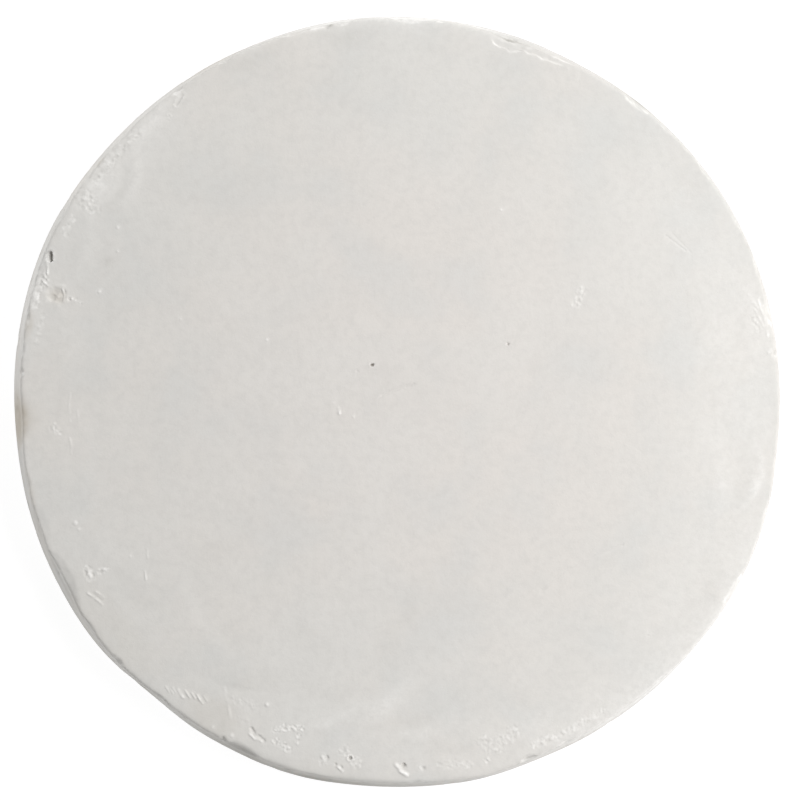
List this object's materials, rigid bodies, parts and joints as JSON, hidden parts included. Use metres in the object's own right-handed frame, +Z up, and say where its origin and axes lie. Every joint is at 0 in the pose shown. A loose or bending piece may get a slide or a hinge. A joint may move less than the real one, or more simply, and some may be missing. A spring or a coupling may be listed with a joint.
{
  "type": "plaster bat mold",
  "caption": "Flat round plaster mold with a flaring side and a worn working face, wire mesh cast inside and blind sleeves in its base for wheel-head pins.",
  "frame": {"origin": "centre of the base, the wider flat face that the mold stands on", "axes": "+Z up, out of the working face; +X through the right-hand pin sleeve; +Y away from a person who looks at the face with +X on their right"},
  "size_m": [0.3294, 0.3294, 0.03],
  "materials": {
    "plaster": "matte",
    "galvanised_wire": "satin",
    "sleeve_plastic": "matte"
  },
  "bodies": {
    "root": {"plaster_casting": "plaster", "wire_mesh": "galvanised_wire", "pin_sleeve_left": "sleeve_plastic", "pin_sleeve_right": "sleeve_plastic"}
  },
  "joints": []
}
